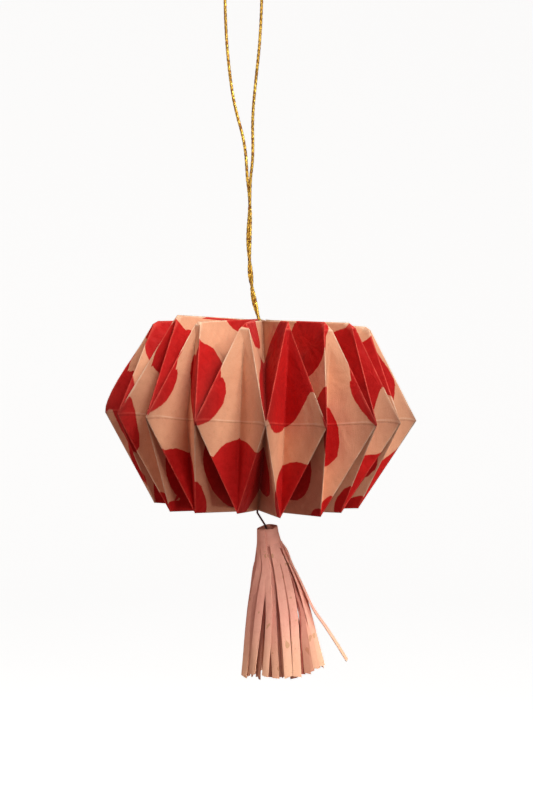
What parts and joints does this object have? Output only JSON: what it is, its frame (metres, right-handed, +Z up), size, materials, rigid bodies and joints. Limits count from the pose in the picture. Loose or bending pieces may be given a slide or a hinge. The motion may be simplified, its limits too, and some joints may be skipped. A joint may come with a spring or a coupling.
{
  "type": "hanging pleated paper ball with tassel",
  "caption": "Hanging ornament: a sheet of dotted paper pleated into a ball of diamonds, with a gold cord loop above and a rolled, fringed paper tassel below.",
  "frame": {"origin": "top of the hanging loop, on the cord's centreline, where a hook carries it", "axes": "+Z up, -Y towards the picture's viewer, +X to the right of the ball's front"},
  "size_m": [0.095, 0.0933, 0.2163],
  "materials": {
    "dotted_paper": "matt handmade paper, large red dots on dusty pink",
    "pink_paper": "matt handmade paper, dusty pink",
    "gold_cord": "metallic gold thread, softly shiny",
    "dark_thread": "matt dark thread"
  },
  "bodies": {
    "root": {"folded_paper_ball": "dotted_paper", "hanging_cord_loop": "gold_cord", "hanging_cord_twist": "gold_cord", "cord_knot": "gold_cord", "top_gathering_thread": "dark_thread", "bottom_gathering_thread": "dark_thread", "tassel_thread": "dark_thread", "tassel": "pink_paper"}
  },
  "joints": []
}
